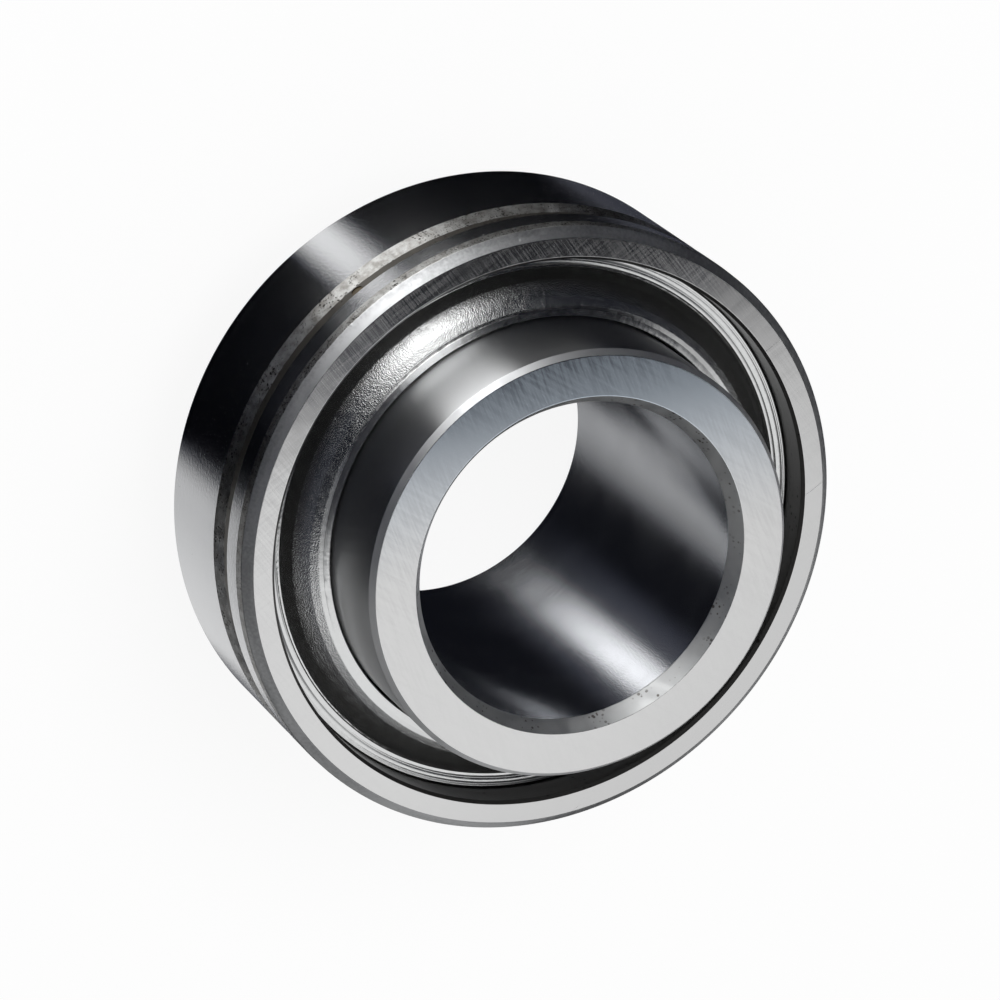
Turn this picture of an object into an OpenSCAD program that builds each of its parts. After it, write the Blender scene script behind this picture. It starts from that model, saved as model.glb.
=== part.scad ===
// Disc harrow bearing: a wide inner ring with a plain round bore, one row of
// balls in a riveted ribbon cage, a grooved outer ring and a capped seal on
// each side. The axis is Z and the origin is the centre of the bearing.
// The front is the +Z side.

/* [Rings] */
// Diameter of the outer ring's ground outside
outer_d = 100; // [96:0.1:104]
// Width of the outer ring
outer_w = 33.34; // [32:0.01:36]
// Diameter of the plain round bore
bore_d = 52; // [48:0.1:55]
// Width of the inner ring, which stands proud on both sides
inner_w = 61.9; // [56:0.1:68]
// Diameter of the inner ring's ground outside
inner_od = 69.9; // [69:0.1:70]

/* [Ring edges] */
// How far the front lead-in strip tapers in from the ground land
lead_in_r = 0.08; // [0.02:0.01:0.3]
// How far the front lead-in strip runs along the axis
lead_in_z = 1.98; // [0.5:0.01:3]
// How far the front outer chamfer comes in
front_chamfer_r = 1.5; // [0.5:0.01:2.2]
// How far the front outer chamfer runs along the axis
front_chamfer_z = 1.42; // [0.5:0.01:3]
// How far the rear outer chamfer comes in
rear_chamfer_r = 1.1; // [0.5:0.01:2.2]
// How far the rear outer chamfer runs along the axis
rear_chamfer_z = 2.1; // [1:0.1:4]
// How far the bore's chamfer opens out
bore_chamfer_r = 1.6; // [0.5:0.1:2]
// How far the bore's chamfer runs along the axis
bore_chamfer_z = 2.4; // [0.5:0.1:3]
// How far the inner ring's outside chamfer comes in
inner_chamfer_r = 0.78; // [0.3:0.01:1]
// How far the inner ring's outside chamfer runs along the axis
inner_chamfer_z = 0.98; // [0.3:0.01:1.5]

/* [Relubrication groove] */
// Height of the groove's front wall above the bearing's centre
groove_front_z = 9.27; // [8.5:0.01:10.5]
// Height where the groove's floor starts to slope outward
groove_floor_z = 6.37; // [6:0.01:6.6]
// Height where the groove's slope meets the wide land
groove_rear_z = 3.37; // [2:0.01:4.5]
// Depth of the groove
groove_depth = 0.6; // [0.3:0.01:0.8]
// Slant of the groove's front wall
groove_wall_z = 0.2; // [0.1:0.01:0.4]
// Diameter of the lube hole through the outer ring
lube_hole_d = 2; // [1.5:0.1:2.2]
// Height of the lube hole above the bearing's centre
lube_hole_z = 7.6; // [7.2:0.1:7.9]
// Direction of the lube hole, measured from +X
lube_hole_angle = 258; // [0:1:359]

/* [Balls and cage] */
// Diameter of each ball, nine sixteenths of an inch
ball_d = 14.2875; // [14.2:0.0001:14.3]
// Number of balls
ball_n = 10; // [10:1:10]
// Diameter of the circle that the ball centres lie on
pitch_d = 77.5; // [77.3:0.1:77.7]
// Radius of both raceway grooves
race_r = 7.43; // [7.3:0.01:7.6]
// Gap between a ball and the bottom of each raceway
race_gap = 0.03; // [0.02:0.01:0.06]
// Thickness of the cage's pressed sheet
cage_t = 1; // [0.8:0.1:1.2]
// Gap between a ball and its cage pocket
pocket_gap = 0.15; // [0.1:0.01:0.3]
// Diameter of a rivet's shank
rivet_d = 2; // [1.6:0.1:2.4]
// Diameter of a rivet's domed head
rivet_head_d = 3.4; // [3:0.1:3.8]
// Height of a rivet's domed head
rivet_head_h = 0.9; // [0.6:0.1:1]

/* [Seals] */
// Thickness of the cap's pressed sheet
cap_t = 0.9; // [0.7:0.1:1]
// Radius of the mouth that each cap is pressed into
mouth_r = 44.85; // [44.6:0.01:45.2]
// Height of the cap's flat outer flange above the bearing's centre
cap_flange_z = 10.77; // [10.5:0.01:11.2]
// Radius where the cap's flat flange turns up into its slope
cap_foot_r = 41.6; // [41.2:0.1:42]
// Radius where the cap's slope turns over into its crown
cap_shoulder_r = 37.15; // [36.9:0.01:37.4]
// Height of that shoulder above the bearing's centre
cap_shoulder_z = 15.22; // [15:0.01:15.5]
// Radius of the cap's inner edge, just clear of the inner ring
cap_eye_r = 35.39; // [35.3:0.01:35.6]
// Height of the cap's inner edge above the bearing's centre
cap_eye_z = 15.45; // [15.3:0.01:15.7]
// Gap between a rubber lip and the inner ring
lip_gap = 0.12; // [0.08:0.01:0.2]

/* [Hidden] */
$fn = 160;
outer_r = outer_d / 2;
inner_r = inner_od / 2;
bore_r = bore_d / 2;
half_outer = outer_w / 2;
half_inner = inner_w / 2;
pitch_r = pitch_d / 2;
ball_r = ball_d / 2;
// Radius at the bottom of each raceway
race_floor_inner = pitch_r - ball_r - race_gap;
race_floor_outer = pitch_r + ball_r + race_gap;
// Radius of the outer ring's shoulders beside the raceway
shoulder_r = 43.3;
// Height of the seat that the seal rests on
seat_z = 9.07;
// Chamfer at the mouth of the seal's recess
mouth_chamfer = 0.5;
// Radius of the bend from the cap's flange into its rim
rim_bend_r = 0.45;
// Radius of the bend at the foot of the cap's slope, on its outer face
foot_bend_r = 1.4;
// Radius of the bend at the cap's shoulder, on its outer face
shoulder_bend_r = 1.6;
// How far each bend bulges past its neighbours, so that it crosses them cleanly
bend_over = 0.002;
// Inner radius of the pocketed band of the cage, and its outer radius
cage_in_r = 35.9;
cage_out_r = 41.9;
// Inner and outer radius of the flat webs between the pockets
web_in_r = 36.3;
web_out_r = 41.4;
// Carrier washer under the cap
carrier_in_r = 37.6;
carrier_out_r = mouth_r - cap_t - rim_bend_r - 0.05;
carrier_top_z = cap_flange_z - cap_t;
STEEL = [0.78, 0.79, 0.8];
BRIGHT = [0.86, 0.87, 0.88];
DARK_STEEL = [0.45, 0.46, 0.48];
RUBBER = [0.08, 0.08, 0.09];

// The unit vector from a to b
function toward(a, b) = (b - a) / norm(b - a);

// How far back from a corner the bend of radius r starts on each side
function bend_back(a, p, b, r) =
    r / tan(acos(toward(p, a) * toward(p, b)) / 2);

// Where the bend at corner p starts on the side of a
function bend_start(a, p, b, r) = p + toward(p, a) * bend_back(a, p, b, r);

// Centre of the bend of radius r at corner p
function bend_centre(a, p, b, r) =
    p + toward([0, 0], toward(p, a) + toward(p, b))
        * norm([r, bend_back(a, p, b, r)]);

// The corner where two lines, each shifted sideways by t, meet again
function shifted_corner(a, p, b, t) =
    let (
        d1 = toward(a, p),
        d2 = toward(p, b),
        n1 = [-d1[1], d1[0]],
        n2 = [-d2[1], d2[0]]
    )
    p + (n1 + n2) * t / (1 + n1 * n2);

// Everything under the cap's outer face, or under its inner face when t is the
// thickness of the sheet. The corners run from the rim to the eye.
module under_cap(t) {
    rim_low = [mouth_r, seat_z - 1];
    rim_top = [mouth_r, cap_flange_z];
    foot = [cap_foot_r, cap_flange_z];
    shoulder = [cap_shoulder_r, cap_shoulder_z];
    eye = [cap_eye_r, cap_eye_z];
    a = [mouth_r - t, seat_z - 1];
    b = shifted_corner(rim_low, rim_top, foot, t);
    c = shifted_corner(rim_top, foot, shoulder, t);
    d = shifted_corner(foot, shoulder, eye, t);
    d_out = toward(shoulder, eye);
    e = eye + [-d_out[1], d_out[0]] * t + d_out * 2;
    r_foot = foot_bend_r + t;
    r_shoulder = shoulder_bend_r - t;
    difference() {
        polygon([
            a,
            bend_start(a, b, c, rim_bend_r),
            bend_start(c, b, a, rim_bend_r),
            bend_start(b, c, d, r_foot),
            bend_start(d, c, b, r_foot),
            bend_start(c, d, e, r_shoulder),
            bend_start(e, d, c, r_shoulder),
            e,
            [e[0], a[1]]
        ]);
        translate(bend_centre(b, c, d, r_foot)) circle(r = r_foot + bend_over);
    }
    translate(bend_centre(a, b, c, rim_bend_r)) circle(r = rim_bend_r + bend_over);
    translate(bend_centre(c, d, e, r_shoulder)) circle(r = r_shoulder + bend_over);
}

// Section of the cap: a pressed sheet of even thickness
module cap_section() {
    intersection() {
        difference() {
            under_cap(0);
            under_cap(cap_t);
        }
        translate([cap_eye_r, seat_z]) square([20, 20]);
    }
}

// Section of the rubber: a block round the carrier's edge with three lips
module lips_section() {
    tip = inner_r + lip_gap;
    polygon([
        [39, 8.77], [36.9, 8.77], [35.35, 8.95], [tip, 9.15], [35.3, 9.5], [36.4, 9.95],
        [36.4, 10.3], [35.3, 10.75], [tip, 11], [35.3, 11.3], [36.4, 11.5],
        [36.4, 11.9], [35.3, 12.5], [tip, 12.8], [35.35, 13], [37.1, 12.6],
        [37.6, 11.6], [37.8, 10.67], [39, 10.67],
        [39, carrier_top_z], [carrier_in_r, carrier_top_z],
        [carrier_in_r, seat_z], [39, seat_z]
    ]);
}

// Section of the carrier: a flat washer that the rubber is moulded round
module carrier_section() {
    polygon([
        [carrier_in_r, seat_z], [carrier_out_r, seat_z],
        [carrier_out_r, carrier_top_z], [carrier_in_r, carrier_top_z]
    ]);
}

// Half turn about X, which brings a front piece to the rear side
module rear() {
    mirror([0, 0, 1]) children();
}

module outer_ring() {
    color(STEEL) difference() {
        rotate_extrude() difference() {
            polygon([
                [shoulder_r, -seat_z],
                [mouth_r, -seat_z],
                [mouth_r, -half_outer + mouth_chamfer],
                [mouth_r + mouth_chamfer, -half_outer],
                [outer_r - rear_chamfer_r, -half_outer],
                [outer_r, -half_outer + rear_chamfer_z],
                [outer_r, groove_rear_z],
                [outer_r - groove_depth, groove_floor_z],
                [outer_r - groove_depth, groove_front_z - groove_wall_z],
                [outer_r, groove_front_z],
                [outer_r, half_outer - front_chamfer_z - lead_in_z],
                [outer_r - lead_in_r, half_outer - front_chamfer_z],
                [outer_r - lead_in_r - front_chamfer_r, half_outer],
                [mouth_r + mouth_chamfer, half_outer],
                [mouth_r, half_outer - mouth_chamfer],
                [mouth_r, seat_z],
                [shoulder_r, seat_z]
            ]);
            translate([race_floor_outer - race_r, 0]) circle(r = race_r);
        }
        rotate([0, 0, lube_hole_angle]) translate([shoulder_r - 2, 0, lube_hole_z])
            rotate([0, 90, 0]) cylinder(d = lube_hole_d, h = 12);
    }
}

module inner_ring() {
    color(STEEL) rotate_extrude() difference() {
        polygon([
            [bore_r, -half_inner + bore_chamfer_z],
            [bore_r + bore_chamfer_r, -half_inner],
            [inner_r - inner_chamfer_r, -half_inner],
            [inner_r, -half_inner + inner_chamfer_z],
            [inner_r, half_inner - inner_chamfer_z],
            [inner_r - inner_chamfer_r, half_inner],
            [bore_r + bore_chamfer_r, half_inner],
            [bore_r, half_inner - bore_chamfer_z]
        ]);
        translate([race_floor_inner + race_r, 0]) circle(r = race_r);
    }
}

module ball(i) {
    color(BRIGHT) rotate([0, 0, i * 360 / ball_n]) translate([pitch_r, 0, 0])
        sphere(r = ball_r);
}

// One half of the cage: cupped pockets over the balls, joined by flat webs
module cage_front() {
    color(DARK_STEEL) difference() {
        union() {
            rotate_extrude() translate([web_in_r, 0])
                square([web_out_r - web_in_r, cage_t]);
            intersection() {
                for (i = [0 : ball_n - 1])
                    rotate([0, 0, i * 360 / ball_n]) translate([pitch_r, 0, 0])
                        sphere(r = ball_r + pocket_gap + cage_t);
                rotate_extrude() translate([cage_in_r, 0])
                    square([cage_out_r - cage_in_r, 12]);
            }
        }
        for (i = [0 : ball_n - 1])
            rotate([0, 0, i * 360 / ball_n]) translate([pitch_r, 0, 0])
                sphere(r = ball_r + pocket_gap);
        for (i = [0 : ball_n - 1])
            rotate([0, 0, (i + 0.5) * 360 / ball_n]) translate([pitch_r, 0, -1])
                cylinder(d = rivet_d, h = cage_t + 2);
    }
}

module cage_rear() {
    rear() cage_front();
}

// The domed head of a rivet, sitting on the web
module rivet_head() {
    dome_r = (pow(rivet_head_d / 2, 2) + pow(rivet_head_h, 2)) / (2 * rivet_head_h);
    intersection() {
        translate([0, 0, cage_t + rivet_head_h - dome_r]) sphere(r = dome_r);
        translate([0, 0, cage_t]) cylinder(d = rivet_head_d + 2, h = 3);
    }
}

module cage_rivets() {
    color(STEEL) for (i = [0 : ball_n - 1])
        rotate([0, 0, (i + 0.5) * 360 / ball_n]) translate([pitch_r, 0, 0]) {
            translate([0, 0, -cage_t]) cylinder(d = rivet_d, h = 2 * cage_t);
            rivet_head();
            rear() rivet_head();
        }
}

module front_seal_cap() {
    color(BRIGHT) rotate_extrude() cap_section();
}

module front_seal_carrier() {
    color(DARK_STEEL) rotate_extrude() carrier_section();
}

module front_seal_lips() {
    color(RUBBER) rotate_extrude() lips_section();
}

module rear_seal_cap() {
    rear() front_seal_cap();
}

module rear_seal_carrier() {
    rear() front_seal_carrier();
}

module rear_seal_lips() {
    rear() front_seal_lips();
}

outer_ring();
inner_ring();
ball(0);  // ball_01
ball(1);  // ball_02
ball(2);  // ball_03
ball(3);  // ball_04
ball(4);  // ball_05
ball(5);  // ball_06
ball(6);  // ball_07
ball(7);  // ball_08
ball(8);  // ball_09
ball(9);  // ball_10
cage_front();
cage_rear();
cage_rivets();
front_seal_cap();
front_seal_carrier();
front_seal_lips();
rear_seal_cap();
rear_seal_carrier();
rear_seal_lips();
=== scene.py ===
# %% [markdown]
# # A disc harrow bearing
#
# A disc harrow rides on wide ball bearings like this one. A long inner ring slides onto
# the gang's shaft, an outer ring sits in the hanger, and a plated steel cap with rubber
# lips behind it closes each side. The imported CAD model already holds every piece at its
# real size, so this lesson is about finish: ground, honed, turned and plated steel.
#
# The first cell loads the imported model as a fixed frame, and the next one notes how large it is.

# %% Load the frame
import math

import bpy
from mathutils import Matrix, Vector


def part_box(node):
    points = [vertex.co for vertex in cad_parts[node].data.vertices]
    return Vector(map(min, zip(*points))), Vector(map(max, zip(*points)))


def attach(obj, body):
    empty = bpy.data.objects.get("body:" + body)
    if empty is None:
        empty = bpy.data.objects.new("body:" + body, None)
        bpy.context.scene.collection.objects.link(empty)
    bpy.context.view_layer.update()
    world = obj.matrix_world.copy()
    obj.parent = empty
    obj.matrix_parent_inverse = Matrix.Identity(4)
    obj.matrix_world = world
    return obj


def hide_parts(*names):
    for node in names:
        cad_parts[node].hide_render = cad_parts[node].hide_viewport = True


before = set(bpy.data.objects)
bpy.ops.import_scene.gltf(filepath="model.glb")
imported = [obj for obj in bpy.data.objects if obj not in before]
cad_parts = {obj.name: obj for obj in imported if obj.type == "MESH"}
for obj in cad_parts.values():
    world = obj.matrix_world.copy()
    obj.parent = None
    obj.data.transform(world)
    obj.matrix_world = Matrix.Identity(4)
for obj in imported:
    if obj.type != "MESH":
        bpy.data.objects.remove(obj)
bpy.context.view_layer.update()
MM = 0.001

# %% [markdown]
# ## Sizes
#
# Every size that the CAD nodes can tell is read from their boxes. What a box can't tell,
# such as a chamfer or the depth of a groove, is written here in millimetres.

# %% Sizes of the rings and the cap
outer_low, outer_high = (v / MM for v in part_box("outer_ring"))
inner_low, inner_high = (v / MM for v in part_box("inner_ring"))
cap_low, cap_high = (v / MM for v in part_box("front_seal_cap"))
ball_low, ball_high = (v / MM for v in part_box("ball_01"))

outer_r = outer_high.x
half_outer = outer_high.z
half_inner = inner_high.z
inner_r = inner_high.x
bore_r = 26.0
# each chamfer: how far it runs inward, and how far along the axis
lead_in = (0.08, 1.98)
front_chamfer = (1.5, 1.42)
rear_chamfer = (1.1, 2.1)
bore_chamfer = (1.6, 2.4)
inner_chamfer = (0.78, 0.98)
# the four corners of the groove, from its long slope up to its short one
groove_z = (3.37, 6.37, 9.07, 9.27)
groove_depth = 0.6
mouth_r = cap_high.x
seat_r = 43.3
seat_z = cap_low.z
mouth_chamfer = 0.5
ball_r = (ball_high.z - ball_low.z) / 2
pitch_r = (ball_high.x + ball_low.x) / 2
race_r = 7.43
race_gap = 0.03
floor_z = inner_low.z
print(f"outer ring {2 * outer_r:.2f} mm across, inner ring {2 * half_inner:.2f} mm wide")

# %% [markdown]
# ## One helper for every node
#
# Shader trees and Geometry Nodes trees are built the same way: a node is added, some of
# its settings are chosen, and each input gets either a value or a link. One small
# function does all of that, so that the trees below read like a list of steps.
# A second one turns a colour as it is written on screen into the linear values that
# Blender mixes light with.

# %% Add a node, and turn a colour to linear
def add(tree, kind, inputs=None, **settings):
    node = tree.nodes.new(kind)
    for name, value in settings.items():
        setattr(node, name, value)
    for name, value in (inputs or {}).items():
        if isinstance(value, bpy.types.NodeSocket):
            tree.links.new(value, node.inputs[name])
        else:
            node.inputs[name].default_value = value
    return node


def linear(hex_colour):
    parts = [int(hex_colour[i : i + 2], 16) / 255 for i in (1, 3, 5)]
    return [c / 12.92 if c <= 0.04045 else ((c + 0.055) / 1.055) ** 2.4 for c in parts] + [1]


print("mid grey #808080 is", [round(c, 3) for c in linear("#808080")])

# %% [markdown]
# ## The camera
#
# The bearing stands on its end and the camera looks down at it from a little under 60
# degrees, rolled over so that the axis leans to the lower right of the picture. A long
# lens from three quarters of a metre keeps the circles nearly parallel.

# %% Camera
camera_at = Vector((0.24, -401.48, 662.83)) * MM
camera_right = Vector((-0.6427, 0.6554, 0.3967)).normalized()
camera_back = Vector((0, -0.5178, 0.8555)).normalized()
camera_up = camera_back.cross(camera_right).normalized()
sensor_mm = 36
focal_mm = 175.76

lens = bpy.data.cameras.new("camera")
lens.sensor_width = sensor_mm
lens.lens = focal_mm
camera = bpy.data.objects.new("camera", lens)
turn = Matrix((camera_up.cross(camera_back), camera_up, camera_back)).transposed()
camera.matrix_world = Matrix.Translation(camera_at) @ turn.to_4x4()
bpy.context.collection.objects.link(camera)
bpy.context.scene.camera = camera
bpy.context.scene.view_settings.view_transform = "Standard"
print("camera distance in mm:", round(camera_at.length / MM))

# %% [markdown]
# ## Patterns that tools leave in steel
#
# Polished steel has almost no colour of its own. What the eye reads is how its tiny
# ridges smear a reflection, so each finish here is a height pattern with a direction.
#
# * Turning and cylindrical grinding leave ridges that run round the axis. A noise that
#   changes quickly along the radius and the height, and slowly round the ring, gives them.
# * A face grinder leaves strokes that cross the face. A noise that is stretched along one
#   direction of the face gives them.
# * Pits, dust and scratches are single marks. Voronoi cells scatter them: each cell has one
#   mark of a random size, and in a stretched space the round mark becomes a thin scratch.
#
# The real ridges are 0.02 to 0.05 mm apart, finer than a pixel, so they are drawn about
# ten times as coarse to show at all.
#
# Two kinds of node come back again and again. Map Range takes a value (input 0) from one
# range (1 and 2) to another (3 and 4, or 0 to 1 where they are left out). Mix takes a share
# (0) and two colours (6 and 7).

# %% Height patterns
SMOOTH = {"interpolation_type": "SMOOTHSTEP"}
COLOUR = {"data_type": "RGBA"}


def in_rings(tree, spacing_mm, length_mm, seed):
    """A space in which one unit is a ridge's spacing across and its length round the axis."""
    here = add(tree, "ShaderNodeTexCoord").outputs["Object"]
    point = add(tree, "ShaderNodeSeparateXYZ", {0: here}).outputs
    flat = add(tree, "ShaderNodeCombineXYZ", {0: point[0], 1: point[1]}).outputs[0]
    radius = add(tree, "ShaderNodeVectorMath", {0: flat}, operation="LENGTH").outputs["Value"]
    along = add(
        tree,
        "ShaderNodeVectorMath",
        {0: flat, 3: 1 / (length_mm * MM)},
        operation="SCALE",
    ).outputs[0]
    ridge = add(tree, "ShaderNodeMath", {0: radius, 1: point[2]}, operation="ADD").outputs[0]
    step = add(
        tree,
        "ShaderNodeMath",
        {0: ridge, 1: 1 / (spacing_mm * MM), 2: seed},
        operation="MULTIPLY_ADD",
    ).outputs[0]
    lift = add(tree, "ShaderNodeCombineXYZ", {2: step}).outputs[0]
    return add(tree, "ShaderNodeVectorMath", {0: along, 1: lift}, operation="ADD").outputs[0]


def in_strokes(tree, angle, spacing_mm, length_mm, seed):
    """A space in which one unit is a stroke's length along its angle and its spacing across."""
    here = add(tree, "ShaderNodeTexCoord").outputs["Object"]
    place = add(
        tree,
        "ShaderNodeMapping",
        {"Vector": here, "Location": (seed, seed, 0), "Rotation": (0, 0, math.radians(-angle))},
        vector_type="POINT",
    ).outputs[0]
    return add(
        tree,
        "ShaderNodeVectorMath",
        {0: place, 1: (1 / (length_mm * MM), 1 / (spacing_mm * MM), 1 / (length_mm * MM))},
        operation="MULTIPLY",
    ).outputs[0]


def in_cells(tree, size_mm, seed=0.0):
    """A space in which one unit is the given size in every direction."""
    here = add(tree, "ShaderNodeTexCoord").outputs["Object"]
    return add(
        tree,
        "ShaderNodeVectorMath",
        {0: here, 1: [1 / (size_mm * MM)] * 3, 2: [seed] * 3},
        operation="MULTIPLY_ADD",
    ).outputs[0]


def rings(tree, spacing_mm, length_mm, detail=2.0, seed=0.0):
    place = in_rings(tree, spacing_mm, length_mm, seed)
    return add(tree, "ShaderNodeTexNoise", {"Vector": place, "Scale": 1, "Detail": detail}).outputs[0]


def strokes(tree, angle, spacing_mm, length_mm, detail=1.0, seed=0.0):
    place = in_strokes(tree, angle, spacing_mm, length_mm, seed)
    return add(tree, "ShaderNodeTexNoise", {"Vector": place, "Scale": 1, "Detail": detail}).outputs[0]


def specks(tree, size_mm, detail=2.0, seed=0.0):
    place = in_cells(tree, size_mm, seed)
    return add(tree, "ShaderNodeTexNoise", {"Vector": place, "Scale": 1, "Detail": detail}).outputs[0]


def marks(tree, place, biggest):
    """Scattered marks, 1 inside and 0 outside. The biggest is that share of a cell."""
    cells = add(tree, "ShaderNodeTexVoronoi", {"Vector": place, "Scale": 1}).outputs
    chance = add(tree, "ShaderNodeSeparateColor", {0: cells["Color"]}).outputs[0]
    size = add(tree, "ShaderNodeMath", {0: chance, 1: chance}, operation="MULTIPLY").outputs[0]
    reach = add(tree, "ShaderNodeMath", {0: size, 1: biggest}, operation="MULTIPLY").outputs[0]
    far = add(tree, "ShaderNodeMath", {0: cells["Distance"], 1: reach}, operation="DIVIDE").outputs[0]
    edge = {0: far, 1: 0.6, 2: 1.0, 3: 1, 4: 0}
    return add(tree, "ShaderNodeMapRange", edge, **SMOOTH).outputs[0]


def dots(tree, every_mm, biggest_mm, seed=0.0):
    return marks(tree, in_cells(tree, every_mm, seed), biggest_mm / every_mm)


def scratches(tree, angle, apart_mm, length_mm, width_mm, seed=0.0):
    """Single scratches of up to the given half length and half width."""
    stretch = length_mm / width_mm
    return marks(tree, in_strokes(tree, angle, apart_mm, apart_mm * stretch, seed), width_mm / apart_mm)


def total(tree, *weighted):
    """The sum of several patterns, each with its weight."""
    result = 0.0
    for value, weight in weighted:
        result = add(
            tree,
            "ShaderNodeMath",
            {0: value, 1: weight, 2: result},
            operation="MULTIPLY_ADD",
        ).outputs[0]
    return result


print("patterns: rings, strokes, specks, dots and scratches")

# %% [markdown]
# ## Steel finishes
#
# A metal is a Principled shader with Metallic at 1: the base colour is the colour of its
# reflection. Hardened bearing steel reflects a neutral grey of about 60 percent. The
# height pattern goes through a Bump node whose distance is a real height in metres, and
# the roughness varies a little so that no surface looks printed.
#
# Ridges that run round the axis smear a reflection up and down, but hardly sideways. That
# is anisotropy, so a ground surface also gets a share of it, with its tangent round Z.

# %% The shared part of every metal
def steel(name, base, dull, finish, ridges=0.0):
    made = bpy.data.materials.new(name)
    made.use_nodes = True
    tree = made.node_tree
    shader = tree.nodes["Principled BSDF"]
    shader.inputs["Metallic"].default_value = 1
    shader.inputs["Base Color"].default_value = linear(base)
    shader.inputs["Roughness"].default_value = dull
    if ridges:
        shader.inputs["Anisotropic"].default_value = ridges
        shader.inputs["Anisotropic Rotation"].default_value = 0.25
        round_axis = add(tree, "ShaderNodeTangent", direction_type="RADIAL", axis="Z")
        tree.links.new(round_axis.outputs[0], shader.inputs["Tangent"])
    parts = finish(tree)
    bump = add(
        tree,
        "ShaderNodeBump",
        {"Height": parts["height"], "Distance": parts["deep_mm"] * MM, "Strength": 1},
    )
    tree.links.new(bump.outputs[0], shader.inputs["Normal"])
    if "colour" in parts:
        tree.links.new(parts["colour"], shader.inputs["Base Color"])
    if "dull" in parts:
        tree.links.new(parts["dull"], shader.inputs["Roughness"])
    return made


# %% [markdown]
# ### Ground lands
#
# The two lands of the outer ring are ground round and round on a centreless grinder. The
# eye sees a dark mirror whose highlights break into short streaks along the grinding
# marks, and in the dark parts a few grains of dust.

# %% Ground land steel
def land_finish(tree):
    short = rings(tree, 0.2, 1.1)
    long = rings(tree, 0.2, 14, seed=3.0)
    grain = specks(tree, 0.45, detail=3.0)
    dust = dots(tree, 2.4, 0.16)
    dusty = add(tree, "ShaderNodeMath", {0: dust, 1: 0.7}, operation="MULTIPLY").outputs[0]
    return {
        "height": total(tree, (short, 1.0), (long, 0.3), (grain, 1.0)),
        "deep_mm": 0.022,
        "dull": add(tree, "ShaderNodeMath", {0: 0.18, 1: dusty}, operation="MAXIMUM").outputs[0],
    }


land_steel = steel("ground_land_steel", "#CBCCCE", 0.2, land_finish, ridges=0.5)


# %% [markdown]
# ### Turned bevels, dull from hardening
#
# The relubrication groove and the lead-in strip beside the land are left as the lathe tool
# cut them before hardening. The furnace leaves them a dull grey-brown with small dark pits.

# %% Hardened bevel steel
def pitted(tree, every_mm, biggest_mm, patch_mm):
    cloud = specks(tree, patch_mm, seed=4.0)
    patchy = add(tree, "ShaderNodeMapRange", {0: cloud, 1: 0.4, 2: 0.6}, **SMOOTH).outputs[0]
    pits = dots(tree, every_mm, biggest_mm)
    return add(tree, "ShaderNodeMath", {0: pits, 1: patchy}, operation="MULTIPLY").outputs[0]


def bevel_finish(tree):
    lines = rings(tree, 0.3, 20)
    grain = specks(tree, 0.28)
    pits = pitted(tree, 0.4, 0.34, 4)
    cloud = {0: specks(tree, 1.4), 1: 0.3, 2: 0.7}
    cloud = add(tree, "ShaderNodeMapRange", cloud, **SMOOTH).outputs[0]
    scale = {0: cloud, 6: linear("#B6B6B4"), 7: linear("#908E8A")}
    scale = add(tree, "ShaderNodeMix", scale, **COLOUR).outputs[2]
    colour = {0: pits, 6: scale, 7: linear("#2E2B27")}
    dull = {0: grain, 1: 0.3, 2: 0.7, 3: 0.26, 4: 0.4}
    return {
        "height": total(tree, (lines, 1.0), (grain, 0.8), (pits, -1.5)),
        "deep_mm": 0.012,
        "colour": add(tree, "ShaderNodeMix", colour, **COLOUR).outputs[2],
        "dull": add(tree, "ShaderNodeMapRange", dull, **SMOOTH).outputs[0],
    }


bevel_steel = steel("hardened_bevel_steel", "#AEACA8", 0.33, bevel_finish, ridges=0.4)


# %% [markdown]
# ### Turned chamfers
#
# The short chamfers beside the faces are turned bright after hardening. They show the
# rings of the tool, and a few knocks from handling.

# %% Bright chamfer steel
def chamfer_finish(tree):
    lines = rings(tree, 0.18, 30)
    knocks = dots(tree, 2.6, 0.55, seed=7.0)
    nicks = scratches(tree, 115, 2.4, 2, 0.16, seed=0.021)
    worn = total(tree, (lines, 0.75), (specks(tree, 0.5, detail=3.0), 0.25))
    bright = add(tree, "ShaderNodeMapRange", {0: worn, 1: 0.36, 2: 0.64}, **SMOOTH).outputs[0]
    colour = {0: bright, 6: linear("#939495"), 7: linear("#C3C4C5")}
    dull = {0: specks(tree, 1.2), 1: 0.3, 2: 0.7, 3: 0.4, 4: 0.48}
    return {
        "height": total(tree, (lines, 1.0), (specks(tree, 0.5), 0.5), (knocks, 1.5), (nicks, 2.5)),
        "deep_mm": 0.009,
        "colour": add(tree, "ShaderNodeMix", colour, **COLOUR).outputs[2],
        "dull": add(tree, "ShaderNodeMapRange", dull, **SMOOTH).outputs[0],
    }


chamfer_steel = steel("turned_chamfer_steel", "#B4B5B6", 0.44, chamfer_finish, ridges=0.4)


# %% [markdown]
# ### Unground steel in the recess and the groove
#
# The wall that the cap is pressed into is never ground. It is coloured nearly black, partly
# for that unground steel and partly as painted shade in the recess. The floor of the
# relubrication groove is as rough, and is coloured a dark grey, a little lighter.

# %% Recess and groove steel
def unground(clean, dark):
    def finish(tree):
        lines = rings(tree, 0.25, 25, seed=2.0)
        pits = pitted(tree, 0.9, 0.4, 4)
        colour = {0: pits, 6: linear(clean), 7: linear(dark)}
        return {
            "height": total(tree, (lines, 1.0), (specks(tree, 0.6), 0.6), (pits, -1.0)),
            "deep_mm": 0.01,
            "colour": add(tree, "ShaderNodeMix", colour, **COLOUR).outputs[2],
        }

    return finish


# near black: unground steel, darkened further with painted shade for the recess
recess_metal_painted_shade = steel("turned_recess_metal_painted_shade", "#484746", 0.3, unground("#484746", "#242322"))
groove_steel = steel("turned_groove_steel", "#64615C", 0.45, unground("#64615C", "#2E2B28"))
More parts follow.
